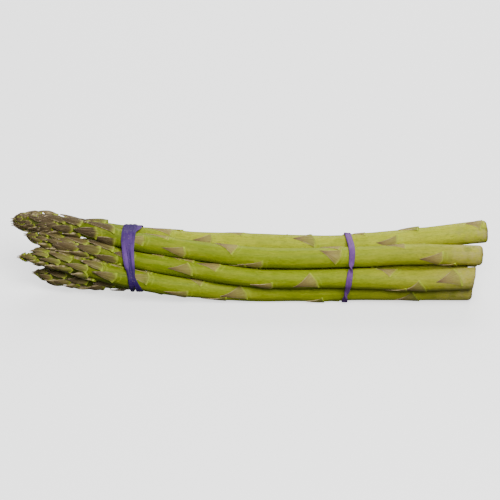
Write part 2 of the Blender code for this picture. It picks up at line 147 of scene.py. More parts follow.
class Line:
    """A spear's line from its tip (distance 0) to its butt, with its radius and, at each point,
    the directions square to it that face the viewer and that point up for the viewer."""

    def __init__(self, node):
        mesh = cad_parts[node].data
        corners = np.empty(len(mesh.vertices) * 3)
        mesh.vertices.foreach_get("co", corners)
        corners = corners.reshape(-1, 3)
        mesh.calc_loop_triangles()
        index = np.empty(len(mesh.loop_triangles) * 3, np.int32)
        mesh.loop_triangles.foreach_get("vertices", index)
        triangles = corners[index.reshape(-1, 3)]
        tip = corners[corners[:, 0].argmin()]
        butt_x = corners[:, 0].max()
        x = np.arange(tip[0] + FIRST_SLICE, butt_x - LAST_SLICE, SLICE_STEP)
        circles = np.array([slice_circle(triangles, at) for at in x])
        for _ in range(LINE_SMOOTHING):
            padded = np.pad(circles, ((1, 1), (0, 0)), mode="reflect", reflect_type="odd")
            circles = 0.25 * padded[:-2] + 0.5 * padded[1:-1] + 0.25 * padded[2:]
        last = circles[-1] + (circles[-1] - circles[-3]) * (butt_x - x[-1]) / (x[-1] - x[-3])
        points = np.vstack([tip, np.column_stack([x, circles[:, :2]]), [butt_x, last[0], last[1]]])
        knots = np.concatenate([[0.0], np.cumsum(np.linalg.norm(np.diff(points, axis=0), axis=1))])
        self.length = knots[-1]
        self.s = np.append(np.arange(0.0, self.length, LINE_STEP), self.length)
        self.centre = np.stack([self.through(knots, points[:, k]) for k in range(3)], axis=1)
        shift, reach = TIP_SHIFTS.get(node, (0.0, 50.0))
        fade = np.clip(1 - self.s / (reach * MM), 0.0, 1.0)
        self.centre += (shift * MM * fade * fade * (3 - 2 * fade))[:, None] * UP_FOR_VIEWER
        along = np.gradient(self.centre, self.s, axis=0)
        self.along = along / np.linalg.norm(along, axis=1, keepdims=True)
        front = TO_VIEWER - (self.along @ TO_VIEWER)[:, None] * self.along
        self.front = front / np.linalg.norm(front, axis=1, keepdims=True)
        self.above = np.cross(self.front, self.along)
        sliced = np.interp(x, points[:, 0], knots)
        self.neck, self.middle, self.butt = (
            float(np.median(circles[(sliced > low) & (sliced < high), 2]))
            for low, high in ((50 * MM, 64 * MM), (0.55 * self.length, 0.68 * self.length),
                              (self.length - 26 * MM, self.length - 6 * MM)))

    def through(self, knots, values):
        """A smooth curve through the knots: cubic pieces with Catmull-Rom slopes."""
        slope = np.gradient(values, knots)
        k = np.clip(np.searchsorted(knots, self.s) - 1, 0, len(knots) - 2)
        span = knots[k + 1] - knots[k]
        t = (self.s - knots[k]) / span
        return ((2 * t**3 - 3 * t**2 + 1) * values[k] + (t**3 - 2 * t**2 + t) * span * slope[k]
                + (3 * t**2 - 2 * t**3) * values[k + 1] + (t**3 - t**2) * span * slope[k + 1])

    def at(self, s, angle, radius):
        """Points at a distance s from the tip, an angle round the line (0 faces the viewer,
        90 degrees is up) and a distance out from it. All three are arrays."""
        def spread(rows):
            return np.stack([np.interp(s, self.s, rows[:, k]) for k in range(3)], axis=-1)
        out = np.cos(angle)[..., None] * spread(self.front) + np.sin(angle)[..., None] * spread(self.above)
        beyond = np.minimum(s, 0.0)[..., None] * spread(self.along)
        return spread(self.centre) + beyond + radius[..., None] * out


SPEAR_NAMES = ["spear_upper_front", "spear_upper_back", "spear_middle_front", "spear_centre",
               "spear_middle_back", "spear_lower_front", "spear_lower_back"]
LINES = {name: Line(name) for name in SPEAR_NAMES}
for name, line in LINES.items():
    print(name, "is", round(line.length / MM), "mm long, radius",
          [round(r / MM, 2) for r in (line.butt, line.middle, line.neck)])

# %% [markdown]
# The head of a spear is a bud: a slim core under overlapping scale leaves. So there are two
# radii. The outline is what the leaves reach, and it closes to the tip in a rounded point, more
# blunt on one spear than on the next. The core is the bare stem under the leaves, and further
# down the two are the same.

# %% Radii along a spear
HEAD_TAPERS = {"spear_upper_front": 1.9, "spear_upper_back": 4.5, "spear_middle_front": 4.3,
               "spear_centre": 4.5, "spear_middle_back": 4.5, "spear_lower_front": 5.6,
               "spear_lower_back": 4.4}
CORE_SHARE = 0.70
HEAD_FULLNESS = {"spear_upper_front": 0.0}
USUAL_FULLNESS = 0.25
HEAD_START, HEAD_END = 20.0 * MM, 48.0 * MM


def stem_radius(line, s):
    """The stem's own radius: it tapers evenly from butt to neck."""
    return np.interp(s, [0.0, 45.0 * MM, 0.62 * line.length, line.length],
                     [line.neck, line.neck, line.middle, line.butt])


def closing(name, s):
    """The share of the full radius that the head has at s: 1 - exp(-s / taper)."""
    return 1 - np.exp(-(np.maximum(s, 0.0) / MM + 0.3) / HEAD_TAPERS[name])


def outline_radius(name, s):
    fullness = HEAD_FULLNESS.get(name, USUAL_FULLNESS) * MM
    full = stem_radius(LINES[name], s) + fullness * (1 - smooth_step(30 * MM, 50 * MM, s))
    return full * closing(name, s)


def core_radius(name, s):
    share = CORE_SHARE + (1 - CORE_SHARE) * smooth_step(HEAD_START, HEAD_END, s)
    return stem_radius(LINES[name], s) * closing(name, s) * share


# %% [markdown]
# The scale leaves follow one rule along the spear: each is turned about 137.5 degrees from the
# one before, the golden angle, and they stand closer together towards the tip. The leaves that
# can be made out in the photograph are listed: distance of the base from the tip, angle, length,
# half width as an angle, skew of the base line, how far the apex splays out, how far it leans to
# one side and how much the base bulges, in millimetres and degrees. Most of the first four were
# read off the photograph by eye in pixels and turned into these units by a separate calculation
# that isn't part of this script. Many were then moved, and the rest were chosen one by one. The
# rule fills in the sides that are hidden.

# %% Places of the scale leaves
GOLDEN_ANGLE = 137.5
LEAF_STEPS = ((0.0, 0.9), (14.0, 1.1), (22.0, 2.2), (34.0, 3.6), (50.0, 7.0), (80.0, 10.0), (230.0, 15.0))
FIRST_LEAF = 2.0
BUTT_MARGIN = 6.0
FRONT_HALF_ANGLE = 82.0
SPIRALS = {"spear_upper_front": (3, 20.0, 1), "spear_upper_back": (7, 140.0, -1),
           "spear_middle_front": (11, 75.0, 1), "spear_centre": (13, 10.0, 1),
           "spear_middle_back": (17, 200.0, -1), "spear_lower_front": (19, 310.0, 1),
           "spear_lower_back": (23, 90.0, -1)}
OPEN_HEADS = {"spear_upper_front": 20.0}
SEEN = {
    "spear_upper_front": [
        (4.4, 74, 5.6, 14, 0.0, 1.2), (5.4, -50, 6.4, 16, 0.0, 1.4), (5.0, -30, 6.0, 14, 0.0, 0.9),
        (14.0, -86, 6.0, 22, 0.0, 0.6), (19.5, -84, 8.0, 24, 0.0, 0.3), (20.5, 78, 9.0, 24, 0, -0.3),
        (19.0, -30, 7.0, 18), (20.0, 20, 8.0, 20), (22.0, -4, 7.0, 20), (25.2, 49, 11.0, 34),
        (24.0, -66, 9.0, 26), (28.9, -14, 11.2, 28), (32.8, 48, 12.0, 34), (33.0, -58, 9.0, 24),
        (36.0, 88, 10.0, 34, 0, -0.35), (41.0, -8, 12.0, 34, -0.6), (48.0, 50, 14.2, 34, -1.2, 0, 12),
        (50.0, -48, 11.0, 40, 0.6, 0, 10), (63.5, 16, 10.5, 36, 0.0, 0, 0, 0.5),
        (75.0, 78, 7.0, 40, -0.5), (83.5, -26, 11.2, 38, -0.2, 0, 20),
        (107.5, 46, 10.5, 44, 1.4, 0, 34), (120.0, -54, 11.5, 36, 0.8, 0, -10),
        (156.8, 2, 9.6, 42, 1.6, 0, 40), (187.4, 68, 8.5, 36, -1.0), (205.0, -28, 10.9, 46, 1.0, 0, 6)],
    "spear_upper_back": [
        (34.1, 72, 12.9, 40), (44.4, 82, 12.0, 38, 0.0, -0.4, 0, 1.0),
        (75.8, 58, 11.5, 40, -0.6, 0, 10), (95.4, 10, 9.0, 40, 0.4), (110.2, 80, 9.5, 36),
        (143.8, 34, 10.0, 48, -1.2, 0, 0, 0.3), (182.9, -6, 9.6, 40, 1.4),
        (193.9, 78, 9.6, 34, 0, 0, 0, 0.4), (224.4, 56, 8.0, 44, 0.8, 0.2)],
    "spear_middle_front": [
        (11.0, 86, 6.5, 26, 0, 0.3), (17.5, 88, 8.0, 26, 0, 0.3), (16.5, -84, 8.0, 26, 0, 0.3),
        (22.5, -86, 10.0, 28, 0, 0.3), (34.0, -84, 10.0, 30), (47.6, -84, 13.0, 34, 0, 0.2),
        (40.0, -84, 9.0, 30), (5.5, 20, 5.6, 24), (8.2, -20, 6.4, 20), (11.0, 60, 7.2, 26),
        (11.3, 6, 6.8, 18), (12.9, -46, 7.4, 22), (17.5, 46, 8.2, 26), (17.8, 4, 8.4, 20),
        (18.0, -66, 8.0, 26), (22.0, -24, 8.6, 22), (23.5, 28, 8.4, 24), (25.5, -62, 11.0, 26),
        (26.0, -4, 12.0, 30), (29.8, 55, 11.7, 32), (31.0, -42, 9.0, 24), (36.3, 6, 12.2, 34, 0.4),
        (42.2, 53, 12.8, 32, -0.8, 0, 10), (45.2, -32, 11.8, 30, 0.4, 0, 8), (51.0, 24, 8.0, 32, 0.4),
        (66.8, 82, 6.0, 34), (75.1, 78, 4.0, 30), (80.6, -2, 11.0, 42, -1.4, 0, -16),
        (93.6, 50, 11.0, 42, 0.8, 0, 6), (119.1, -60, 10.0, 38, 0.6, 0, 10),
        (139.6, -10, 10.6, 48, -2.0, 0, -42), (177.1, 54, 9.2, 42, 1.6, 0, 26),
        (190.8, -46, 10.0, 44, -1.8, 0, -26), (207.4, 12, 11.0, 50, -1.8, 0, -26)],
    "spear_lower_front": [
        (14.0, 88, 7.0, 24, 0, 0.3), (19.0, 84, 9.0, 26, 0, 0.3), (31.0, 84, 10.0, 28, 0, 0.3),
        (50.2, 86, 13.0, 36, 0, 0.2), (44.0, 84, 9.0, 30), (5.8, 14, 5.8, 20), (7.9, -10, 7.0, 18),
        (9.6, -44, 6.0, 20), (12.7, 56, 7.8, 22), (13.8, 20, 8.4, 17), (14.5, -50, 6.8, 20),
        (19.9, -6, 10.6, 18), (20.5, -52, 8.0, 20), (24.9, 30, 11.8, 22), (25.2, 68, 9.0, 30),
        (26.3, -36, 10.6, 20), (33.5, -3, 11.2, 22), (34.0, -58, 8.0, 26), (40.2, 32, 11.4, 28, -1.0),
        (41.5, 78, 9.0, 34), (47.6, -16, 11.8, 27, 0.6, 0, 8), (62.4, 18, 10.5, 36, 0, 0, 0, 0.4),
        (81.1, -58, 11.0, 36, 0.6, 0, 14), (88.6, 42, 10.5, 34, 0.8, 0, 30),
        (108.6, -10, 11.7, 42, -1.8, 0, -36), (145.9, -76, 8.4, 36, 0, 0, 0, 0.3),
        (190.4, -52, 10.6, 42, -1.6, 0, -14)],
    "spear_lower_back": [
        (6.4, 22, 6.4, 26), (8.8, -20, 7.8, 26), (9.2, 58, 6.0, 24), (13.0, -50, 7.4, 26),
        (15.4, 20, 10.0, 27), (17.6, -30, 8.4, 24), (18.5, 66, 8.4, 30), (22.0, -58, 7.4, 24),
        (26.0, -6, 10.6, 28), (28.4, 60, 9.0, 32), (30.6, 28, 6.8, 20), (33.7, -54, 8.4, 32, 0.0, 0.2),
        (39.0, -14, 10.9, 28)],
}


def spiral_leaves(name, length):
    """The golden-angle rule, as rows of (distance, angle, leaf length, half angle, skew). A head
    that has begun to open, at its tip, shows many small narrow scales instead."""
    seed, angle, sense = SPIRALS[name]
    draw = np.random.default_rng(seed)
    at, steps = zip(*LEAF_STEPS)
    s, rows = FIRST_LEAF, []
    while s < OPEN_HEADS.get(name, 0.0):
        rows.append((s, angle, min(3.4 + 0.14 * s, 0.8 * s + 2.0), draw.uniform(11, 16) + 10 / s,
                     draw.uniform(-0.5, 0.5), draw.uniform(-0.4, 0.05)))
        s += draw.uniform(0.24, 0.40)
        angle += sense * GOLDEN_ANGLE + draw.uniform(-12, 12)
    while s < length - BUTT_MARGIN:
        long = 5.0 + 6.0 * smooth_step(4.0, 30.0, s) + draw.uniform(-0.6, 0.6)
        half = 24 + 12 * smooth_step(18.0, 34.0, s) + 8 * smooth_step(60.0, 90.0, s) + draw.uniform(-3, 3)
        rows.append((s, angle, min(long, 0.9 * s + 1.6), half, draw.uniform(-1.2, 1.2)))
        s += np.interp(s, at, steps) * draw.uniform(0.85, 1.15)
        angle += sense * GOLDEN_ANGLE + draw.uniform(-10, 10)
    return rows


def leaves_of(name):
    """The listed leaves, and the rule's where the list has nothing to say: right at the tip,
    round the back, and all along the spears that are hidden."""
    length = LINES[name].length / MM
    seen = SEEN.get(name, [])
    listed_from = OPEN_HEADS.get(name, min((row[0] for row in seen), default=length))
    listed_to = length if name != "spear_lower_back" else 45.0
    rows = [row for row in spiral_leaves(name, length)
            if not (listed_from < row[0] < listed_to
                    and abs((row[1] + 180.0) % 360.0 - 180.0) < FRONT_HALF_ANGLE)]
    return [(*row, 0.0, 0.0, 0.0, 0.0)[:8] for row in sorted(rows + seen)]


LEAVES = {name: leaves_of(name) for name in SPEAR_NAMES}
print("scale leaves:", {name: len(rows) for name, rows in LEAVES.items()})

# %% [markdown]
# The camera looks down at 30 degrees from far away with a long lens, as the photo does, so the
# spears hardly shrink with distance. Its place and lens follow from the size of one pixel of the
# photo, so the render can be laid over the photo.

# %% Camera
PHOTO_PIXELS = 500
PIXEL_SIZE = 0.4747 * MM
CAMERA_DISTANCE = 2.5
SENSOR = 0.036
PHOTO_CENTRE_X = -0.4 * MM
PHOTO_CENTRE_Z = 22.7 * MM

scene = bpy.context.scene
camera_data = bpy.data.cameras.new("camera")
camera_data.sensor_width = SENSOR / MM
camera_data.lens = SENSOR / MM * CAMERA_DISTANCE / (PHOTO_PIXELS * PIXEL_SIZE)
camera_data.clip_end = 20.0
camera = bpy.data.objects.new("camera", camera_data)
camera.location = np.array([PHOTO_CENTRE_X, 0.0, PHOTO_CENTRE_Z]) + CAMERA_DISTANCE * TO_VIEWER
camera.rotation_euler = (math.pi / 2 - VIEW_TILT, 0.0, 0.0)
scene.collection.objects.link(camera)
scene.camera = camera
print("lens", round(camera_data.lens), "mm at", CAMERA_DISTANCE, "m")

# %% [markdown]
# The top row of the bunch is brightest and each row fades downwards, so the photo was lit by
# broad soft lights from above, with little light from below. One softbox hangs in front and a
# weaker one behind. The room around adds a faint bluish light, which keeps the shadows open.

# %% Lights
SOFTBOX_SIZE = 0.6
SOFTBOXES = {"front_softbox": ((0.20, -0.60, 0.80), 13.3), "back_softbox": ((0.15, 0.75, 0.65), 7.5)}
ROOM_COLOUR, ROOM_STRENGTH = (0.93, 0.98, 1.15, 1.0), 0.15


def softbox(name, place, watts):
    """A square soft light at a place, turned so that it shines at the middle of the bunch."""
    data = bpy.data.lights.new(name, "AREA")
    data.size = SOFTBOX_SIZE
    data.energy = watts
    light = bpy.data.objects.new(name, data)
    light.location = place
    toward = -np.array(place)
    light.rotation_euler = (math.acos(-toward[2] / np.linalg.norm(toward)), 0.0,
                            math.atan2(toward[0], -toward[1]) + math.pi)
    scene.collection.objects.link(light)


for name, (place, watts) in SOFTBOXES.items():
    softbox(name, place, watts)
    print(name, watts, "W, at", place, "m")

world = bpy.data.worlds.new("studio_room")
scene.world = world
world.use_nodes = True
room = world.node_tree.nodes["Background"]
room.inputs["Color"].default_value = ROOM_COLOUR
room.inputs["Strength"].default_value = ROOM_STRENGTH


# %% [markdown]
# Materials. Colours are written as they look on a screen and turned into light values by one
# function. Each finish is a small network: a few noises set in the piece's own coordinates, so
# that a streak runs along the stem however it bends, drive the colour, the gloss and the relief.
# One function adds any node and returns the output that the next node reads.

# %% Helpers for materials
def screen(hex_colour):
    """A screen colour such as "a2a73a" as the linear light values that a shader takes."""
    parts = [int(hex_colour[k:k + 2], 16) / 255 for k in (0, 2, 4)]
    return tuple(p / 12.92 if p <= 0.04045 else ((p + 0.055) / 1.055) ** 2.4 for p in parts) + (1.0,)


def new_material(name, roughness, **sockets):
    """A Principled material, and its node tree and shader to build on."""
    material = bpy.data.materials.new(name)
    material.use_nodes = True
    tree = material.node_tree
    shader = tree.nodes["Principled BSDF"]
    shader.inputs["Roughness"].default_value = roughness
    for key, value in sockets.items():
        shader.inputs[key.replace("_", " ")].default_value = value
    return material, tree, shader


def add(tree, kind, inputs, output=0, stops=(), **settings):
    """One node. inputs gives values, screen colours or links for its sockets by name or number,
    stops the (position, screen colour) of a colour ramp, and settings its own properties."""
    node = tree.nodes.new("ShaderNode" + kind)
    for key, value in settings.items():
        setattr(node, key, value)
    for key, value in inputs.items():
        if isinstance(value, bpy.types.NodeSocket):
            tree.links.new(value, node.inputs[key])
        else:
            node.inputs[key].default_value = screen(value) if isinstance(value, str) else value
    for extra in stops[2:]:
        node.color_ramp.elements.new(0.5)
    for element, (position, colour) in zip(node.color_ramp.elements if stops else (), stops):
        element.position = position
        element.color = screen(colour)
    return node.outputs[output]


def coverage(tree, *factors):
    """Factors multiplied with one another. A factor is a link, a number, or (link, low, high) or
    (link, low, high, first, last): a link stretched so that low..high becomes first..last."""
    whole = None
    for factor in factors:
        if isinstance(factor, tuple):
            factor = add(tree, "MapRange", dict(enumerate(factor)))
        whole = factor if whole is None else add(tree, "Math", {0: whole, 1: factor}, operation="MULTIPLY")
    return whole


def layered(tree, colour, *layers):
    """Colours laid over a first one in turn: a layer is (screen colour, factors of its coverage)."""
    for over, *factors in layers:
        colour = add(tree, "Mix", {0: coverage(tree, *factors), 6: colour, 7: over}, 2, data_type="RGBA")
    return colour


# %% [markdown]
# The skin of a stem is a living one under a thin bloom of wax: green, lighter and yellower towards
# the cut end, duller near the head, and darker towards the tip, which is painted shade where the
# core shows between the head scales. Past the head each spear is paler by its own amount, partly
# its own tone and partly painted light on spears that lie in shade. It has fine streaks along the
# stem, a cloudy mottle, small dark spots, scuffs near the cut, and a yellow-green cushion below
# each leaf. The streaks read a straightened copy of each point's place, stored as skin_place, so
# they bend with the stem.

# %% Stem skin: patterns
# Scales are patches to the metre: fine streaks are 0.4 mm wide, grains 0.5 mm, broad streaks 2 mm
# and clouds 8 mm. The real bloom is finer, and is drawn this coarse so that it shows.
FINE_STREAKS, GRAINS, BROAD_STREAKS, CLOUDS = 2600.0, 1900.0, 520.0, 130.0
SPOTS, SPOT_GROUPS, SCUFFS, BRUISES = 210.0, 90.0, 300.0, 170.0
SCUFFED_LENGTH, RIM_LENGTH = 22.0, 1.6
SKIN_RELIEF = 0.12 * MM

stem_skin, tree, shader = new_material(
    "asparagus_stem_skin", 0.5, IOR=1.42, Specular_IOR_Level=0.12, Subsurface_Weight=0.10,
    Subsurface_Scale=0.0015, Subsurface_Radius=(0.7, 1.0, 0.3))
place = add(tree, "Attribute", {}, "Vector", attribute_name="skin_place")
down, paleness, cushion, from_cut = (
    add(tree, "Attribute", {}, "Fac", attribute_name=name)
    for name in ("from_tip", "paleness", "cushion", "from_cut"))
drawn_out, less, little, slightly = (
    add(tree, "Mapping", {"Vector": place, "Scale": (along, 1.0, 1.0)}) for along in (0.10, 0.16, 0.35, 0.7))
fine, broad, grain, cloud, rare, scuffs, bruises = (
    add(tree, "TexNoise", {"Vector": vector, "Scale": scale, "Detail": detail, "Roughness": roughness})
    for vector, scale, detail, roughness in (
        (drawn_out, FINE_STREAKS, 4.0, 0.6), (less, BROAD_STREAKS, 3.0, 0.5), (little, GRAINS, 3.0, 0.65),
        (place, CLOUDS, 3.0, 0.5), (place, SPOT_GROUPS, 1.0, 0.55), (place, SCUFFS, 4.0, 0.65),
        (place, BRUISES, 3.0, 0.5)))
specks = add(tree, "TexVoronoi", {"Vector": slightly, "Scale": SPOTS, "Randomness": 1.0}, "Distance",
             feature="F1")
print(stem_skin.name, "has", len(tree.nodes), "nodes for its patterns")

# %% Stem skin: colour, gloss and relief
spot = coverage(tree, (specks, 0.05, 0.10, 1.0, 0.0),
                (rare, 0.56, 0.62))
near_cut = add(tree, "MapRange", {0: from_cut, 1: 0.0, 2: SCUFFED_LENGTH, 3: 1.0, 4: 0.0})
rim = add(tree, "MapRange", {0: from_cut, 1: 0.0, 2: RIM_LENGTH, 3: 1.0, 4: 0.0})
# Painted shade: the ramp darkens towards the tip, where the core shows between the head scales.
green = add(tree, "ValToRGB", {"Fac": down}, "Color", [
    (0.0, "3e4414"), (0.10, "505a18"), (0.20, "6a7a14"), (0.30, "809210"), (0.5, "92a212"),
    (0.72, "9aa81a"), (0.88, "aeae34"), (1.0, "bfb150")])
green = layered(
    tree, green,
    # Paler per spear: partly its own tone, partly painted light on spears that lie in shade.
    ("c8cc34", paleness),
    ("5f700c", (grain, 0.50, 0.72, 0.0, 0.55)),
    ("bcc446", (grain, 0.26, 0.44, 0.5, 0.0)),
    ("6c7c0e", (fine, 0.38, 0.66, 0.0, 0.42)),
    ("b9bb36", (broad, 0.44, 0.72, 0.0, 0.42)),
    ("78880e", (cloud, 0.45, 0.75, 0.0, 0.35)),
    ("4f5a1c", spot, 0.75),
    ("b4c63a", cushion, 0.9),
    # Painted shade near the head, partly its own duller green: darker between the head scales.
    ("4a4e1c", (down, 0.05, 0.16, 0.8, 0.0)),
    ("b8a878", near_cut, (scuffs, 0.42, 0.70, 0.0, 0.6)),
    ("66761a", near_cut, (bruises, 0.60, 0.66, 0.0, 0.6)),
    ("84763f", rim, (scuffs, 0.35, 0.6, 0.2, 0.9)))
gloss = add(tree, "MapRange", {0: broad, 1: 0.3, 2: 0.7, 3: 0.44, 4: 0.6})
height = add(tree, "Math", {0: coverage(tree, fine, 0.5), 1: coverage(tree, broad, 0.5)}, operation="ADD")
bump = add(tree, "Bump", {"Height": height, "Distance": SKIN_RELIEF, "Strength": 0.7}, "Normal")
tree.links.new(green, shader.inputs["Base Color"])
tree.links.new(gloss, shader.inputs["Roughness"])
tree.links.new(bump, shader.inputs["Normal"])

# %% [markdown]
# The cut end shows the inside of the stem: a pale, slightly dried disc with a greener rim and
# many small dots, the ends of the fibres that run up the stem.

# %% Cut end
FIBRES, BLOTCHES = 1150.0, 420.0
CUT_RELIEF = 0.15 * MM

cut_end, tree, shader = new_material("asparagus_cut_end", 0.62, IOR=1.4, Subsurface_Weight=0.12,
                                     Subsurface_Scale=0.0015, Subsurface_Radius=(1.0, 0.9, 0.5))
place = add(tree, "Attribute", {}, "Vector", attribute_name="skin_place")
reach = add(tree, "Attribute", {}, "Fac", attribute_name="cut_reach")
across = add(tree, "Mapping", {"Vector": place, "Scale": (0.0, 1.0, 1.0)})
fibres = add(tree, "TexVoronoi", {"Vector": across, "Scale": FIBRES, "Randomness": 0.9}, "Distance",
             feature="F1")
blotch = add(tree, "TexNoise", {"Vector": place, "Scale": BLOTCHES, "Detail": 3.0, "Roughness": 0.55})
flesh = add(tree, "ValToRGB", {"Fac": reach}, "Color", [
    (0.0, "e6e2b6"), (0.62, "dedaa2"), (0.86, "c6c87e"), (1.0, "aeb062")])
flesh = layered(
    tree, flesh,
    ("9c9858", (fibres, 0.12, 0.30, 0.6, 0.0)),
    ("b09a66", (blotch, 0.5, 0.72, 0.0, 0.35)))
height = add(tree, "MapRange", {0: fibres, 1: 0.1, 2: 0.4})
bump = add(tree, "Bump", {"Height": height, "Distance": CUT_RELIEF, "Strength": 1.0}, "Normal")
tree.links.new(flesh, shader.inputs["Base Color"])
tree.links.new(bump, shader.inputs["Normal"])
print(cut_end.name, "has a fibre every", round(1 / FIBRES / MM, 1), "mm")

# %% [markdown]
# A scale leaf is thin and papery: tan to purplish brown, with fine veins from base to apex, pale
# edges, and a green root where it is still alive. In the head the leaves are darker, and greener
# at their corners, where the green is also brightened as a painted highlight on the ears. The
# leaf's own coordinates, stored for each point, tell the material where on the leaf it is:
# leaf_along runs from base to apex and leaf_edge from the middle to the edges.

# %% Scale leaf: patterns
MOTTLES = 900.0
LEAF_RELIEF = 0.12 * MM

leaf_skin, tree, shader = new_material(
    "asparagus_scale_leaf", 0.62, IOR=1.4, Specular_IOR_Level=0.2, Subsurface_Weight=0.06,
    Subsurface_Scale=0.001, Subsurface_Radius=(1.0, 0.9, 0.4))
place, vein_place = (add(tree, "Attribute", {}, "Vector", attribute_name=name)
                     for name in ("skin_place", "leaf_veins"))
along, edge, head, tint, dark = (
    add(tree, "Attribute", {}, "Fac", attribute_name=name)
    for name in ("leaf_along", "leaf_edge", "leaf_head", "leaf_tint", "leaf_dark"))
veins = add(tree, "TexNoise", {"Vector": vein_place, "Scale": 1.0, "Detail": 3.0, "Roughness": 0.6})
mottle = add(tree, "TexNoise", {"Vector": place, "Scale": MOTTLES, "Detail": 4.0, "Roughness": 0.6})
papery = add(tree, "ValToRGB", {"Fac": along}, "Color", [
    (0.0, "aca04c"), (0.12, "a6984e"), (0.5, "98844c"), (0.8, "806a46"), (1.0, "66543c")])
budding = add(tree, "ValToRGB", {"Fac": along}, "Color", [
    (0.0, "94a02c"), (0.06, "868034"), (0.2, "7c6e3c"), (0.7, "6c5a3e"), (1.0, "5e4e3a")])
paper = add(tree, "Mix", {0: head, 6: papery, 7: budding}, 2, data_type="RGBA")
print(leaf_skin.name, "has mottles", round(1 / MOTTLES / MM, 1), "mm wide")

# %% Scale leaf: colour and relief
leafy = coverage(tree, (along, 0.05, 0.75, 1.0, 0.0),
                 (tint, 0.2, 1.0, 0.0, 0.85))
streaky = add(tree, "MapRange", {0: head, 1: 0.0, 2: 1.0, 3: 0.35, 4: 0.5})
bright = add(tree, "MapRange", {0: dark, 1: 0.15, 2: 0.75, 3: 1.0, 4: 0.3})
# Painted highlight, partly: the head leaves' green corners are their own colour, brightened where the ears
# stand off and catch the light.
corner = coverage(tree, (edge, 0.35, 0.9),
                  (along, 0.0, 0.16, 1.0, 0.0))
pale_edge = coverage(tree, (edge, 0.86, 0.99),
                     (along, 0.12, 0.3),
                     (mottle, 0.35, 0.6, 0.2, 0.9))
dry_apex = coverage(tree, (along, 0.78, 0.95),
                    (mottle, 0.52, 0.60))
rib = coverage(tree, (along, 0.0, 0.02, 1.0, 0.0),
               (edge, 0.2, 0.85, 0.5, 1.0),
               (mottle, 0.36, 0.56, 0.45, 1.0), bright,
               (head, 0.0, 1.0, 0.95, 0.7))
paper = layered(
    tree, paper,
    ("848f2c", leafy),
    ("3c3020", dark, (along, 0.0, 0.12)),
    ("4a3826", (veins, 0.46, 0.66), streaky),
    ("c6b37c", (veins, 0.30, 0.44, 1.0, 0.0), streaky),
    ("6e5a3e", (mottle, 0.5, 0.72, 0.0, 0.42)),
    ("a6b634", corner, head, bright),
    ("cdb98c", pale_edge),
    ("cbb79c", dry_apex, head),
    ("b9cb3a", rib))
height = add(tree, "Math", {0: veins, 1: coverage(tree, mottle, 0.5)}, operation="ADD")
bump = add(tree, "Bump", {"Height": height, "Distance": LEAF_RELIEF, "Strength": 0.9}, "Normal")
tree.links.new(paper, shader.inputs["Base Color"])
tree.links.new(bump, shader.inputs["Normal"])

# %% [markdown]
# The rubber bands are cut from moulded natural rubber, so they are matt and softly ribbed.
# Stretched rubber shows fine lines along its length, a faint dusty bloom and darker specks, and
# it is darker where it is slack and gathered into folds. That darkening is also painted shade on
# the wide band's top folds, which face up, and on its low end, which lies in shadow. The lines
# follow the band's own coordinates.

# %% Rubber
BAND_LINES, BAND_SPECKS, BAND_DUST, BAND_BLOOM = 2200.0, 1500.0, 1100.0, 240.0
BAND_RELIEF = 0.1 * MM


def rubber(name, base, dark, light):
    """Purple rubber in three screen colours: its own, a darker one for its lines, specks, slack and painted
    shade, and its bloom.
    """
    material, tree, shader = new_material(name, 0.6, IOR=1.52, Specular_IOR_Level=0.18)
    place = add(tree, "Attribute", {}, "Vector", attribute_name="band_place")
    slack = add(tree, "Attribute", {}, "Fac", attribute_name="band_slack")
    stretched = add(tree, "Mapping", {"Vector": place, "Scale": (0.12, 1.0, 1.0)})
    lines, specks, bloom, dust = (
        add(tree, "TexNoise", {"Vector": vector, "Scale": scale, "Detail": detail, "Roughness": roughness})
        for vector, scale, detail, roughness in (
            (stretched, BAND_LINES, 3.0, 0.6), (place, BAND_SPECKS, 2.0, 0.5), (place, BAND_BLOOM, 3.0, 0.5),
            (place, BAND_DUST, 3.0, 0.6)))
    colour = layered(
        tree, base,
        (light, (bloom, 0.35, 0.7)),
        (dark, (lines, 0.45, 0.75, 0.0, 0.5)),
        (dark, (specks, 0.62, 0.72, 0.0, 0.55)),
        # Painted shade, partly: slack rubber is darker, and the same darkening shades the wide band's top
        # folds and its low end.
        (dark, slack, 0.9),
        ("97847e", (dust, 0.60, 0.70, 0.0, 0.5)))
    bump = add(tree, "Bump", {"Height": lines, "Distance": BAND_RELIEF, "Strength": 0.8}, "Normal")
    tree.links.new(colour, shader.inputs["Base Color"])
    tree.links.new(bump, shader.inputs["Normal"])
    return material


wide_rubber = rubber("violet_rubber", "724899", "210b4e", "7c55a4")
narrow_rubber = rubber("lilac_rubber", "6e4388", "40255a", "805496")
print("materials:", [material.name for material in bpy.data.materials])

# %% [markdown]
# Floor: a plain white light table. It glows a little, so shadows on it stay faint, and it throws
# no light back up at the bunch, so the undersides of the spears go dark as they do in the photo.

# %% Floor
FLOOR_SIZE = 6.0
FLOOR_GLOW = 1.3
floor_points = np.array([[-1, -1, 0], [1, -1, 0], [1, 1, 0], [-1, 1, 0]]) * FLOOR_SIZE / 2
floor_finish, tree, shader = new_material("pale_floor", 0.85)
shader.inputs["Base Color"].default_value = screen("f4f4f2")
shader.inputs["Emission Color"].default_value = screen("ffffff")
shader.inputs["Emission Strength"].default_value = FLOOR_GLOW
floor = mesh_object("floor", floor_points, [[0, 1, 2, 3]], [floor_finish])
floor.visible_diffuse = False
floor.visible_glossy = False
print("floor", FLOOR_SIZE, "m wide")

# %% [markdown]
# Leaves press against what lies next to them. Two spears share the space between them along the
# line where both their outlines would touch, and no leaf may cross it. Under a band, and on the
# floor, a leaf lies flat. Doing this to whole arrays of points keeps it fast.

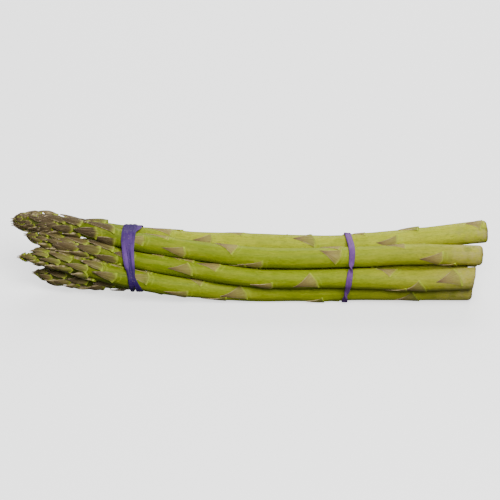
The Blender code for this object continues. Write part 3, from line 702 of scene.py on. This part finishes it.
# %% Keep clear of the neighbours
BAND_ZONES = [(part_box("band_wide")[0].x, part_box("band_wide")[1].x),
              (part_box("band_narrow")[0].x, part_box("band_narrow")[1].x)]
STEM_UNDER_BAND, LEAF_UNDER_BAND = 0.0, 0.18 * MM
STEM_GAP, LEAF_TOUCH = 0.05 * MM, -0.12 * MM
BAND_FADE, FREE_HEIGHT = 1.6 * MM, 3 * MM
FLOOR_GAP = 0.02 * MM
LINE_END_ROOM = 2 * MM


def centre_at(name, x):
    """The point (y, z) where a spear's line passes the places x, and the outline radius there."""
    line = LINES[name]
    s = np.interp(x, line.centre[:, 0], line.s)
    centre = np.stack([np.interp(x, line.centre[:, 0], line.centre[:, k]) for k in (1, 2)], axis=-1)
    return centre, outline_radius(name, s)


def press_clear(name, points, under_band, margin=STEM_GAP):
    """Moves points back behind the shared line between their spear and each other one, to at
    most a given height under the bands, and above the floor."""
    points = points.copy()
    x = points[..., 0]
    own, own_radius = centre_at(name, x)
    at = points[..., 1:]
    for other_name, line in LINES.items():
        if other_name == name:
            continue
        there = (x > line.centre[0, 0] - LINE_END_ROOM) & (x < line.centre[-1, 0] + LINE_END_ROOM)
        other, other_radius = centre_at(other_name, x)
        apart = np.linalg.norm(other - own, axis=-1)
        towards = (other - own) / apart[..., None]
        limit = 0.5 * (apart + own_radius - other_radius) - margin
        over = np.where(there, np.maximum(((at - own) * towards).sum(-1) - limit, 0.0), 0.0)
        at = at - over[..., None] * towards
    out = at - own
    reach = np.linalg.norm(out, axis=-1)
    for low, high in BAND_ZONES:
        near = smooth_step(low - BAND_FADE, low, x) * (1 - smooth_step(high, high + BAND_FADE, x))
        most = own_radius + under_band + (1 - near) * FREE_HEIGHT
        at = own + out * np.minimum(1.0, most / np.maximum(reach, 1e-9))[..., None]
        out = at - own
        reach = np.linalg.norm(out, axis=-1)
    points[..., 1:] = at
    points[..., 2] = np.maximum(points[..., 2], FLOOR_GAP)
    return points


# %% [markdown]
# The stem is a tube along the spear's line, and its profile goes on round the rim and over the
# cut end to its middle, so the whole skin is one closed surface. Its radius is the core radius
# plus fine ribs, slow swellings, and a cushion just below each leaf.

# %% Base line of a leaf
STEM_CHEVRON, HEAD_CHEVRON = 0.9, 1.0


def in_head(s_base):
    """1 for a leaf of the head and 0 for one further down the stem, by its base in millimetres."""
    return float(1 - smooth_step(44.0, 66.0, s_base))


def leaf_base(row, v):
    """Where a leaf's base line stands at v, its place from corner (-1) to corner (1): it bows
    away from the butt towards both corners, more at one corner where the leaf is skewed."""
    s_base, skew = row[0], row[4]
    bow = STEM_CHEVRON + (HEAD_CHEVRON - STEM_CHEVRON) * in_head(s_base)
    return (s_base - bow * np.abs(v) + skew * v) * MM


# %% Stems
ANGLE_STEPS = 96
STEM_STEP = 0.5 * MM
RIM_RADIUS = {"spear_upper_front": 2.0, "spear_upper_back": 1.6, "spear_middle_front": 0.5,
              "spear_centre": 0.8, "spear_middle_back": 0.8, "spear_lower_front": 2.3,
              "spear_lower_back": 1.0}
# How much paler each spear is past its head: partly its own tone, partly painted light that lifts the centre
# and lower front spears out of their shade and brightens the top spear.
PALENESS_AND_PAINTED_LIGHT = {"spear_upper_front": 0.05, "spear_upper_back": 0.8, "spear_middle_front": 0.0,
            "spear_centre": 0.6, "spear_middle_back": 0.3, "spear_lower_front": 0.15, "spear_lower_back": 0.0}
CUT_SLANT = {"spear_middle_front": math.tan(math.radians(13.0))}
BUTT_TRIM = {"spear_upper_back": 0.6, "spear_middle_front": 1.8, "spear_lower_front": -0.4}
RIBS = ((0.018, 9, 2), (0.016, 14, -3))
SWELLING, SWELL_LENGTH, OVAL = 0.09, 38.0, 0.04
CUSHION_HEIGHT, CUSHION_BELOW, CUSHION_ABOVE = 0.20 * MM, 2.6, 5.0
FIRST_CUSHION = 38


def stem_relief(name, s, angle):
    """Height over the core and how much of a cushion there is, for grids of s and angle: two
    sets of ribs that wander round the stem, a slow swelling, an oval section, and below each
    leaf a cushion that fades like a bell curve."""
    seed = SPIRALS[name][0]
    body = smooth_step(30 * MM, 60 * MM, s)
    phase = gentle_noise(seed, s / MM, 90.0)
    ribs = sum(size * np.sin(count * angle + drift * phase) for size, count, drift in RIBS)
    swell = (SWELLING * gentle_noise(seed + 1, s / MM, SWELL_LENGTH)
             + OVAL * np.sin(2 * angle + 1.3 * phase))
    height = (ribs + swell) * MM * body
    cushion = np.zeros_like(height)
    for row in LEAVES[name]:
        if row[0] < FIRST_CUSHION:
            continue
        turn = (angle - math.radians(row[1]) + np.pi) % (2 * np.pi) - np.pi
        v = turn / math.radians(row[3])
        past = (s - leaf_base(row, np.clip(v, -1.6, 1.6))) / MM
        window = np.clip(1.15 - v * v, 0.0, 1.0) ** 0.6
        rise = np.exp(-(past / np.where(past > 0, CUSHION_BELOW, CUSHION_ABOVE)) ** 2)
        height += CUSHION_HEIGHT * window * rise
        ring = 0.5 * np.exp(-((past - 0.5) / 0.5) ** 2) + 0.45 * np.exp(-((past - 2.4) / 0.35) ** 2)
        cushion = np.maximum(cushion, window * ring)
    return height, cushion


CUT_RINGS = np.array([0.92, 0.8, 0.65, 0.5, 0.34, 0.18, 0.06])
CUT_WAVE, CUT_DISH = 0.25, 0.35


def build_stem(name):
    """The profile runs from the tip along the stem, round the rim and to the middle of the cut;
    each ring of it is turned round the line. The cut is dished, slightly wavy, and on one spear
    slanting."""
    line = LINES[name]
    rim = RIM_RADIUS[name] * MM
    body = np.concatenate([[0.0, 0.15, 0.4, 0.8, 1.3, 2.0], np.arange(2.8, 8.0, 0.8)]) * MM
    body = np.concatenate([body, np.arange(8.4 * MM, line.length - rim, STEM_STEP)])
    turn = np.linspace(0.0, np.pi / 2, 7)
    rounding = line.length - rim + rim * np.sin(turn)
    s = np.concatenate([body, rounding, np.full(len(CUT_RINGS), line.length)])
    angle = np.linspace(0.0, 2 * np.pi, ANGLE_STEPS, endpoint=False)
    grid_s, grid_angle = np.meshgrid(s, angle, indexing="ij")
    height, cushion = stem_relief(name, grid_s, grid_angle)
    radius = core_radius(name, grid_s) + height
    inset = np.concatenate([np.zeros(len(body)), rim * (1 - np.cos(turn)), np.zeros(len(CUT_RINGS))])
    radius = radius - inset[:, None]
    share = np.concatenate([np.ones(len(body) + len(turn)), CUT_RINGS])[:, None]
    last = len(body) + len(turn)
    radius[last:] = radius[last - 1] * share[last:]
    radius[0] = 0.02 * MM
    dish = np.zeros_like(radius)
    wave = CUT_WAVE * np.sin(3 * grid_angle[last:] + 1) * share[last:]
    dish[last:] = (wave - CUT_DISH * (1 - share[last:] ** 2)) * MM
    slant = CUT_SLANT.get(name, 0.0) * smooth_step(line.length - 10 * MM, line.length, grid_s)
    trim = BUTT_TRIM.get(name, 0.0) * MM * smooth_step(line.length - 14 * MM, line.length, grid_s)
    lifted = radius * np.sin(grid_angle) * math.cos(VIEW_TILT)
    points = line.at(grid_s, grid_angle, radius)
    points += (dish + slant * lifted - trim)[..., None] * line.along[-1]
    points = press_clear(name, points, STEM_UNDER_BAND)
    faces = grid_faces(len(s), ANGLE_STEPS, closed=True)
    slots = np.repeat(np.arange(len(s) - 1) >= last - 1, ANGLE_STEPS).astype(int)
    tip_ring = np.arange(ANGLE_STEPS)
    end_ring = (len(s) - 1) * ANGLE_STEPS + np.arange(ANGLE_STEPS)[::-1]
    caps = [tip_ring.tolist(), end_ring.tolist()]
    place = np.stack([grid_s, radius * np.cos(grid_angle), radius * np.sin(grid_angle)], axis=-1)
    place[..., 0] += 0.31 * SPEAR_NAMES.index(name)
    reach = np.broadcast_to(share, grid_s.shape)
    stem = mesh_object(name + "_stem", points, faces.tolist() + caps, [stem_skin, cut_end],
                       np.concatenate([slots, [0, 1]]), skin_place=place.reshape(-1, 3),
                       from_tip=(grid_s / line.length).ravel(), cushion=cushion.ravel(),
                       paleness=(PALENESS_AND_PAINTED_LIGHT[name] * smooth_step(50 * MM, 90 * MM, grid_s)).ravel(),
                       from_cut=((line.length - grid_s) / MM).ravel(), cut_reach=reach.ravel())
    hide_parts(name)
    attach(stem, "root")
    return stem


# %% [markdown]
# A scale leaf is a thin shield over a small bud. Its base line is a shallow chevron with two
# sharp corners, which stand off like small ears in the head. Its sides curve in to a fine point
# that lies towards the tip of the spear, and the bud under it makes it bulge. A narrow bright
# rib runs along the base. It could be cut from a flat sheet and wrapped. Here two parameters,
# u along the leaf and v across it, are turned straight into distance, angle and height on the
# spear, so it always hugs the stem.

# %% Outline and height of a leaf
# Greenness and darkness of each spear's leaves. Scales nearer the tip than YOUNG_SCALES are greener.
LEAF_TONES = {"spear_upper_front": (0.0, 0.75), "spear_upper_back": (0.2, 0.3),
              "spear_middle_front": (0.15, 0.3), "spear_centre": (0.2, 0.3), "spear_middle_back": (0.2, 0.3),
              "spear_lower_front": (0.5, 0.0), "spear_lower_back": (0.2, 0.2)}
YOUNG_SCALES, YOUNG_GREEN = 3.0, 0.8
HEAD_CROWN, STEM_CROWN = 0.50, 0.26
USUAL_SLIM, OPEN_SLIM = 0.35, 0.65
RIB_HEIGHT, RIPPLE = 0.20 * MM, 0.06 * MM
LEAF_THICKNESS, ROOT_DEPTH = 0.1 * MM, 0.15 * MM
UNDERSIDE_DEPTH = 0.35 * MM
LEAF_EDGE = 0.22 * MM
EAR_LIFT = 0.30 * MM
RIB_START = -0.075
STEM_WIDTHS = ((RIB_START, 1.04), (0.0, 1.0), (0.06, 0.87), (0.15, 0.76), (0.3, 0.58), (0.5, 0.38),
               (0.75, 0.18), (1.0, 0.02))
HEAD_WIDTHS = ((RIB_START, 1.06), (0.0, 1.06), (0.035, 0.97), (0.08, 0.89), (0.16, 0.84), (0.32, 0.77),
               (0.5, 0.63), (0.7, 0.41), (0.86, 0.21), (0.95, 0.09), (1.0, 0.02))


def leaf_outline(u, head):
    """Half width of a leaf from its base (u = 0) to its apex (u = 1), as a share: a hollow-sided
    triangle on the stem, and a shield in the head."""
    on_stem, on_head = (np.interp(u, *zip(*widths)) for widths in (STEM_WIDTHS, HEAD_WIDTHS))
    return on_stem + (on_head - on_stem) * head


def leaf_grid(name, row, draw, rows, columns):
    """Upper side and underside of one leaf as arrays of points, and its own coordinates.
    Height = the share of the way out to the outline that the leaf stands at + a crown that
    falls off to the sides and the apex + the rib and ears at the base + a lift at the apex."""
    s_base, angle, length, half, _, splay, lean, bulge = row
    head = in_head(s_base)
    tip = float(1 - smooth_step(16.0, 30.0, s_base))
    u = np.concatenate([[RIB_START, -0.045, 0.0, 0.035, 0.08], np.linspace(0.16, 1.0, rows - 5)])
    v = np.sin(np.linspace(-1.0, 1.0, columns) * np.pi / 2)
    u, v = np.meshgrid(u, v, indexing="ij")
    grown = np.clip(u, 0.0, 1.0)
    bend = math.radians(draw.uniform(-7, 7)) * grown**2 + math.radians(lean) * grown
    theta = math.radians(angle) + v * math.radians(half) * leaf_outline(u, head) + bend
    own_base = leaf_base(row, v)
    straight = row[0] * MM + (own_base - row[0] * MM) * (1 - grown) ** 1.3
    s = straight - length * MM * u
    outline, core = outline_radius(name, s), core_radius(name, s)
    stand = np.maximum(outline - core, 0.0) * (0.42 + 0.58 * smooth_step(0.0, 0.5, u))
    slim = USUAL_SLIM if s_base > OPEN_HEADS.get(name, 0.0) else OPEN_SLIM
    crown = ((HEAD_CROWN * head + STEM_CROWN) * (1 - slim * tip) + bulge) * MM
    crown = crown * (1 - 0.45 * v * v) * (1 - grown) ** 0.55 * (1 - 0.2 * np.exp(-(grown / 0.12) ** 2))
    lift = (splay + draw.uniform(-0.1, 0.12) * head) * MM * grown**2
    uneven = 0.7 + 0.3 * gentle_noise(int(draw.integers(1e6)), v, 0.8)
    rib = RIB_HEIGHT * uneven * np.exp(-((u + 0.03) / 0.03) ** 2) * (1 - head)
    ears = EAR_LIFT * head * np.abs(v) ** 5 * np.exp(-((grown / 0.10) ** 2))
    ripple = RIPPLE * gentle_noise(int(draw.integers(1e6)), v * 2.0 + u * 3.0, 1.4) * grown * (1 - grown)
    top_radius = core + stand + crown + lift + rib + ears + LEAF_EDGE * (1 + 0.4 * head) + ripple
    top_radius = np.where(u < -0.06, core - ROOT_DEPTH, top_radius)
    thin = smooth_step(0.35, 0.85, u) * head
    low_radius = (core - UNDERSIDE_DEPTH) * (1 - thin) + (top_radius - UNDERSIDE_DEPTH) * thin
    low_radius = np.minimum(low_radius, top_radius - LEAF_THICKNESS)
    top = press_clear(name, line_at(name, s, theta, top_radius), LEAF_UNDER_BAND, LEAF_TOUCH)
    low = press_clear(name, line_at(name, s, theta, low_radius), STEM_UNDER_BAND - 0.2 * MM)
    veins = np.stack([u * 1.6, v * (10.0 - 4.0 * head), np.full_like(u, draw.uniform(0, 90))], axis=-1)
    place = np.stack([s, top_radius * np.cos(theta), top_radius * np.sin(theta)], axis=-1)
    green, dark = LEAF_TONES[name]
    young = s_base < YOUNG_SCALES and math.sin(math.radians(angle)) < 0.3
    tint = green + draw.uniform(0.0, 0.5) + bulge + YOUNG_GREEN * young
    return top, low, dict(leaf_along=u, leaf_edge=np.abs(v), leaf_veins=veins, skin_place=place,
                          leaf_head=np.full_like(u, head), leaf_tint=np.full_like(u, min(tint, 1.0)),
                          leaf_dark=np.full_like(u, head * (dark + draw.uniform(-0.15, 0.15))))


def line_at(name, s, theta, radius):
    """Points round a spear's line, never nearer to it than a hair."""
    return LINES[name].at(s, theta, np.maximum(radius, 0.05 * MM))


# %% Scale leaves
def shell_faces(rows, columns, first):
    """Faces of a thin closed shell: the top grid, the underside turned over, and a rim round both."""
    top = grid_faces(rows, columns, first=first)[:, ::-1]
    low = grid_faces(rows, columns, first=first + rows * columns)
    index = np.arange(rows * columns).reshape(rows, columns)
    ring = np.concatenate([index[0, :-1], index[:-1, -1], index[-1, :0:-1], index[:0:-1, 0]]) + first
    after = np.roll(ring, -1)
    rim = np.stack([ring, after, after + rows * columns, ring + rows * columns], axis=-1)
    return np.concatenate([top, low, rim[:, ::-1]])


def build_leaves(name):
    draw = np.random.default_rng(SPIRALS[name][0] + 100)
    points, faces, numbers = [], [], {}
    first = 0
    for row in LEAVES[name]:
        rows, columns = (10, 7) if row[0] < 12 else (15, 9)
        top, low, own = leaf_grid(name, row, draw, rows, columns)
        points += [top.reshape(-1, 3), low.reshape(-1, 3)]
        faces.append(shell_faces(rows, columns, first))
        first += 2 * rows * columns
        for key, values in own.items():
            flat = values.reshape(-1, 3) if values.ndim == 3 else values.ravel()
            numbers.setdefault(key, []).extend([flat, flat])
    numbers = {key: np.concatenate(values) for key, values in numbers.items()}
    leaves = mesh_object(name + "_leaves", np.concatenate(points), np.concatenate(faces).tolist(),
                         [leaf_skin], **numbers)
    leaves.data.set_sharp_from_angle(angle=math.radians(50))
    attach(leaves, "root")
    return leaves


for name in SPEAR_NAMES:
    stem = build_stem(name)
    leaves = build_leaves(name)
    print(name, len(stem.data.polygons), "stem faces,", len(leaves.data.polygons), "leaf faces")

# %% [markdown]
# A rubber band runs round the bunch as straight as it can: over the spears that stick out and
# straight across the hollows between them. That path is the outline of a tight loop round all
# the stems: in each direction, the spear that reaches furthest carries the band. Two such loops,
# a little to either side, are enough: a band that leans or wanders is read from between them.

# %% Tight loops
BAND_STEPS = 360


def tight_loop(x):
    """The tight loop at one place along X, as points (y, z) spaced evenly from the bottom, up
    the front, over the top and down the back."""
    angle = np.linspace(-0.5 * np.pi, 1.5 * np.pi, 1440, endpoint=False) - VIEW_TILT
    out = np.stack([-np.cos(angle + VIEW_TILT), np.sin(angle + VIEW_TILT)], axis=-1)
    found = [centre_at(name, np.full(1, x)) for name in SPEAR_NAMES]
    centres = np.array([centre[0] for centre, _ in found])
    radii = np.array([radius[0] for _, radius in found])
    carrier = (out @ centres.T + radii).argmax(axis=1)
    path = centres[carrier] + out * radii[carrier][:, None]
    closed = np.vstack([path, path[:1]])
    run = np.concatenate([[0.0], np.cumsum(np.linalg.norm(np.diff(closed, axis=0), axis=1))])
    even = np.linspace(0.0, run[-1], BAND_STEPS, endpoint=False)
    return np.stack([np.interp(even, run, closed[:, k]) for k in range(2)], axis=1)


def photo_height(pixel_row):
    """How high up in the camera's view a row of the photograph is, in metres."""
    return (PHOTO_MIDDLE_ROW - pixel_row) * PIXEL_SIZE + PHOTO_CENTRE_Z * math.cos(VIEW_TILT)


def photo_x(pixel_column):
    return (pixel_column - PHOTO_PIXELS / 2) * PIXEL_SIZE + PHOTO_CENTRE_X


# %% [markdown]
# A strand is a strip carried along a loop. For the side that shows, its left and right edge are
# given at a few rows of the photograph; round the back it goes on smoothly. Across, its section
# is a flat lens with grooves, as a wide band has where it is drawn together into folds.

# %% Strands
def strand_grid(front, back, thickness, lift, grooves=0.0, turns=(), slack=((0, 0.0), (500, 0.0))):
    """front is (pixel row, left edge, right edge) from top to bottom, back is (left edge, right
    edge) for the far side. turns are (pixel row, length, direction): there the strip turns over
    once. The last argument is (pixel row, share) for how much darker the rubber is: unstretched
    rubber is darker, and the share also paints shade on the wide band's upward-facing top folds
    and on its shadowed low end. Returns the grid of points, the coordinates that the material
    reads, and that darkening share of each point."""
    middle = photo_x(np.mean([row[1:] for row in front]))
    slices = [middle - 4 * MM, middle + 4 * MM]
    low, high = (tight_loop(x) for x in slices)
    loop = 0.5 * (low + high)
    height = 0.5 * loop[:, 0] + math.cos(VIEW_TILT) * loop[:, 1]
    top, bottom = height.argmax(), height.argmin()
    order = np.roll(np.arange(BAND_STEPS), -bottom)
    rank = np.empty(BAND_STEPS)
    rank[order] = np.arange(BAND_STEPS)
    facing = rank <= rank[top]
    rows, left, right = (np.array(values, float) for values in zip(*front[::-1]))
    at = photo_height(rows)
    share = np.clip((rank - rank[top]) / (BAND_STEPS - rank[top]), 0.0, 1.0)
    edges = []
    for front_edge, back_edge in ((left, back[0]), (right, back[1])):
        shown = np.interp(height, at, front_edge)
        hidden = np.interp(share, [0.0, 0.25, 0.75, 1.0],
                           [front_edge[-1], back_edge, back_edge, front_edge[0]])
        edges.append(photo_x(np.where(facing, shown, hidden)))
    for _ in range(6):
        edges = [0.25 * np.roll(e, 1) + 0.5 * e + 0.25 * np.roll(e, -1) for e in edges]
    width = edges[1] - edges[0]
    x = 0.5 * (edges[0] + edges[1])
    mix = np.clip((x - slices[0]) / (slices[1] - slices[0]), 0.0, 1.0)[:, None]
    path = np.column_stack([x, low * (1 - mix) + high * mix])
    ahead = np.roll(path, -1, axis=0) - np.roll(path, 1, axis=0)
    ahead /= np.linalg.norm(ahead, axis=1, keepdims=True)
    side = np.array([1.0, 0.0, 0.0]) - ahead[:, :1] * ahead
    side /= np.linalg.norm(side, axis=1, keepdims=True)
    out = np.cross(side, ahead)
    twist = np.zeros(BAND_STEPS)
    for row, length, direction in turns:
        t = smooth_step(photo_height(row) - 0.5 * length * MM, photo_height(row) + 0.5 * length * MM, height)
        twist += np.where(facing, direction * np.pi * t, direction * np.pi * (1 - share))
    xi = np.cos(np.linspace(0.0, 2 * np.pi, STRAND_SIDES, endpoint=False))
    up = np.sin(np.linspace(0.0, 2 * np.pi, STRAND_SIDES, endpoint=False))
    flat = np.sign(xi) * np.abs(xi) ** 0.75
    profile = np.sign(up) * (1 - np.abs(flat) ** 5) ** 0.5
    fold = 1 - grooves * (0.5 - 0.5 * np.cos(3 * np.pi * flat)) * (up > 0)
    gather = np.clip(width.mean() / width, 0.7, 1.6)[:, None]
    a = flat[None, :] * width[:, None] / 2
    b = profile[None, :] * fold[None, :] * thickness * MM * gather / 2
    turned = twist[:, None]
    across = a * np.cos(turned) - b * np.sin(turned)
    raised = np.abs(np.sin(twist)) * width * 0.35
    outward = a * np.sin(turned) + b * np.cos(turned) + ((lift + thickness / 2) * MM + raised)[:, None]
    points = path[:, None] + across[..., None] * side[:, None] + outward[..., None] * out[:, None]
    points[..., 2] = np.maximum(points[..., 2], 0.02 * MM)
    run = np.cumsum(np.linalg.norm(np.diff(np.vstack([path[:1], path]), axis=0), axis=1))
    place = np.stack([np.broadcast_to(run[:, None], a.shape), a + lift * 40 * MM, b], axis=-1)
    # Darker where slack, and painted shade at the wide band's top folds and low end; round the back a fixed
    # share.
    slack_and_shade_rows, slack_and_shade_shares = zip(*slack[::-1])
    slack_and_shade_share = np.where(facing, np.interp(height, photo_height(np.array(slack_and_shade_rows)), slack_and_shade_shares), 0.3)
    return points, place, np.broadcast_to(slack_and_shade_share[:, None], a.shape)


def build_band(name, strands, material, node):
    points, faces, places, slack_and_shade_share = [], [], [], []
    for count, strand in enumerate(strands):
        grid, place, slack = strand_grid(**strand)
        first = count * BAND_STEPS * STRAND_SIDES
        closed = np.concatenate([np.arange(BAND_STEPS), [0]])
        quads = grid_faces(BAND_STEPS + 1, STRAND_SIDES, closed=True)
        faces.append(first + closed[quads // STRAND_SIDES] * STRAND_SIDES + quads % STRAND_SIDES)
        points.append(grid.reshape(-1, 3))
        places.append(place.reshape(-1, 3))
        slack_and_shade_share.append(slack.ravel())
    band = mesh_object(name, np.concatenate(points), np.concatenate(faces).tolist(), [material],
                       band_place=np.concatenate(places), band_slack=np.concatenate(slack_and_shade_share))
    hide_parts(node)
    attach(band, "root")
    print(name, len(band.data.polygons), "faces")
    return band


# %% [markdown]
# The wide band is drawn together into folds: it is widest near the top and narrows to a cord at
# the bottom, where a second strand of it comes out from underneath and goes off to the right.
# The narrow band is a single flat strip that turns over twice on its way down the front.

# %% Rubber bands
STRAND_SIDES = 28
PHOTO_MIDDLE_ROW = 249.5
wide_strands = [
    dict(front=[(225, 124, 136.5), (230, 122.3, 136.6), (240, 121.4, 134.9), (250, 122.3, 134.2),
                (258, 123.3, 134.4), (265, 124.6, 135.0), (269, 126.7, 135.3), (275, 127.8, 135.3),
                (282, 128.8, 135.0), (288, 130.4, 133.8), (292, 131.0, 133.4)],
         back=(130, 141), thickness=0.80, lift=0.28, grooves=0.75,
         # Darker where slack, and painted shade on the top folds, which face up, and on the low end, which
         # lies in shadow.
         slack=((225, 0.95), (232, 0.82), (242, 0.5), (250, 0.15), (258, 0.0), (264, 0.35), (270, 0.9),
                (292, 1.0))),
    dict(front=[(225, 134, 142.5), (228, 133, 141.5), (231, 131, 138), (236, 128.5, 133.5),
                (250, 126.5, 131), (270, 129.5, 133), (279, 131.5, 136), (284, 134.5, 139.5),
                (289, 136.5, 143.5), (292, 138, 144)],
         back=(138, 145), thickness=0.6, lift=0.30, grooves=0.3,
         slack=((225, 0.5), (240, 0.4), (270, 1.0), (292, 1.0))),
]
narrow_strands = [
    dict(front=[(232, 343.8, 350.2), (238, 345.6, 352), (245, 347.6, 354.0), (252, 348.6, 354.8),
                (258, 348.6, 354.4), (267.5, 348.2, 353), (276, 346.4, 352.2), (284, 345.2, 351.2),
                (290, 344.2, 349), (294, 343.4, 348), (302, 341.2, 347.4)],
         back=(344, 350.2), thickness=0.75, lift=0.15, turns=((267.6, 5.0, 1), (293.8, 4.5, 1))),
]
build_band("band_wide_strands", wide_strands, wide_rubber, "band_wide")
build_band("band_narrow_strip", narrow_strands, narrow_rubber, "band_narrow")
